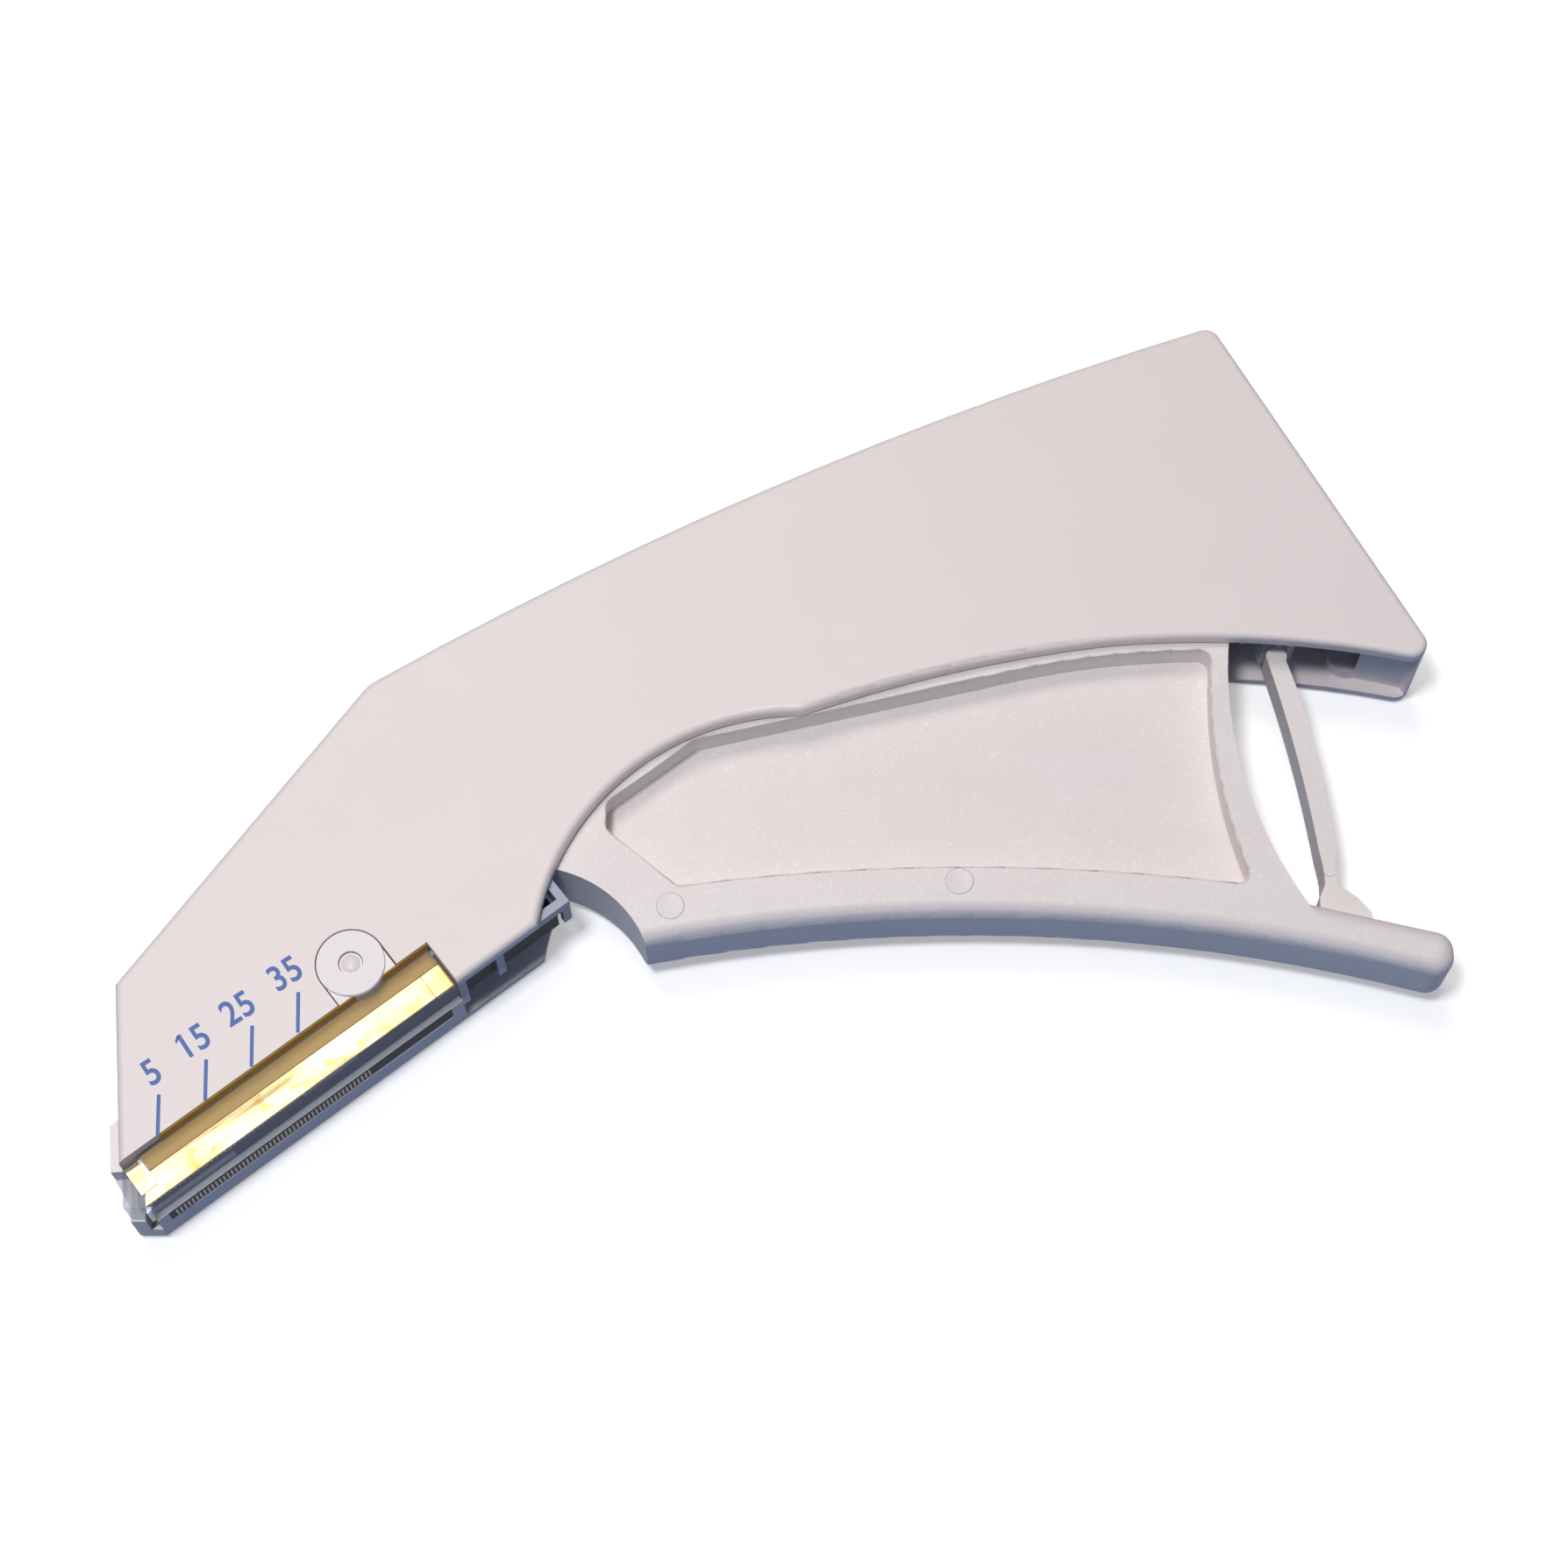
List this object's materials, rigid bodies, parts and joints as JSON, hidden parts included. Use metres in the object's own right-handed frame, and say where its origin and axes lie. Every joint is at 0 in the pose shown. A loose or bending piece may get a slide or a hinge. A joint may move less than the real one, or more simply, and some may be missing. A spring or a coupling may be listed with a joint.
{
  "type": "skin stapler",
  "caption": "Slim disposable skin stapler lying on its side, with a slanted clear staple magazine at the nose and a squeeze trigger under its housing.",
  "frame": {"origin": "where the trigger's pivot axis meets the far shell's flat outer face, on which the stapler rests", "axes": "+X from the nose to the tail, +Y from the trigger to the housing's back, +Z across the width, away from the resting side"},
  "size_m": [0.1614, 0.117, 0.0148],
  "materials": {
    "housing_plastic": "satin moulded, white",
    "lever_plastic": "fine grained, white",
    "clear_plastic": "clear polished",
    "gold_metal": "polished",
    "steel": "ground",
    "spring_steel": "drawn wire",
    "staple_wire": "drawn wire"
  },
  "bodies": {
    "housing": {"far_shell": "housing_plastic", "near_shell": "housing_plastic", "pivot_pin": "steel", "nose_guide": "lever_plastic", "anvil": "steel", "staple_channel": "gold_metal", "channel_bracket": "gold_metal", "staple_track": "steel", "feed_rod": "steel", "end_plug": "lever_plastic", "magazine_base": "housing_plastic", "magazine_cover": "clear_plastic", "staples": "staple_wire", "return_spring": "spring_steel", "feed_spring": "spring_steel"},
    "trigger": {"trigger": "lever_plastic", "drive_pin": "steel"},
    "strut": {"return_strut": "lever_plastic"},
    "plunger": {"spring_plunger": "lever_plastic"},
    "driver": {"former": "steel", "driver_carrier": "lever_plastic"},
    "follower": {"follower": "lever_plastic"}
  },
  "joints": [
    {"name": "trigger_hinge", "type": "hinge", "parent": "housing", "child": "trigger", "pos_m": [0, 0, 0.0074], "axis": [0, 0, 1], "range_deg": [0, 13], "stiffness_Nm_per_rad": 2, "springref_deg": -5.73},
    {"name": "driver_slide", "type": "slide", "parent": "housing", "child": "driver", "axis": [0.0958, -0.9954, 0], "range_m": [0, 0.008]},
    {"name": "strut_hinge", "type": "hinge", "parent": "trigger", "child": "strut", "pos_m": [0.1031, -0.0009, 0.0074], "axis": [0, 0, 1], "range_deg": [-5, 1]},
    {"name": "plunger_slide", "type": "slide", "parent": "housing", "child": "plunger", "axis": [-0.2756, 0.9613, 0], "range_m": [0, 0.0232], "deforming": ["return_spring"]},
    {"name": "follower_slide", "type": "slide", "parent": "housing", "child": "follower", "axis": [0.788, 0.6157, 0], "range_m": [0, 0.003], "stiffness_N_per_m": 60, "springref_m": -0.01, "deforming": ["feed_spring"]}
  ],
  "couplings": [
    {"joint": "driver_slide", "follows": "trigger_hinge", "m_per_rad": 0.03465},
    {"joint": "strut_hinge", "follows": "trigger_hinge", "ratio": -0.36},
    {"joint": "plunger_slide", "follows": "trigger_hinge", "m_per_rad": 0.10195}
  ]
}
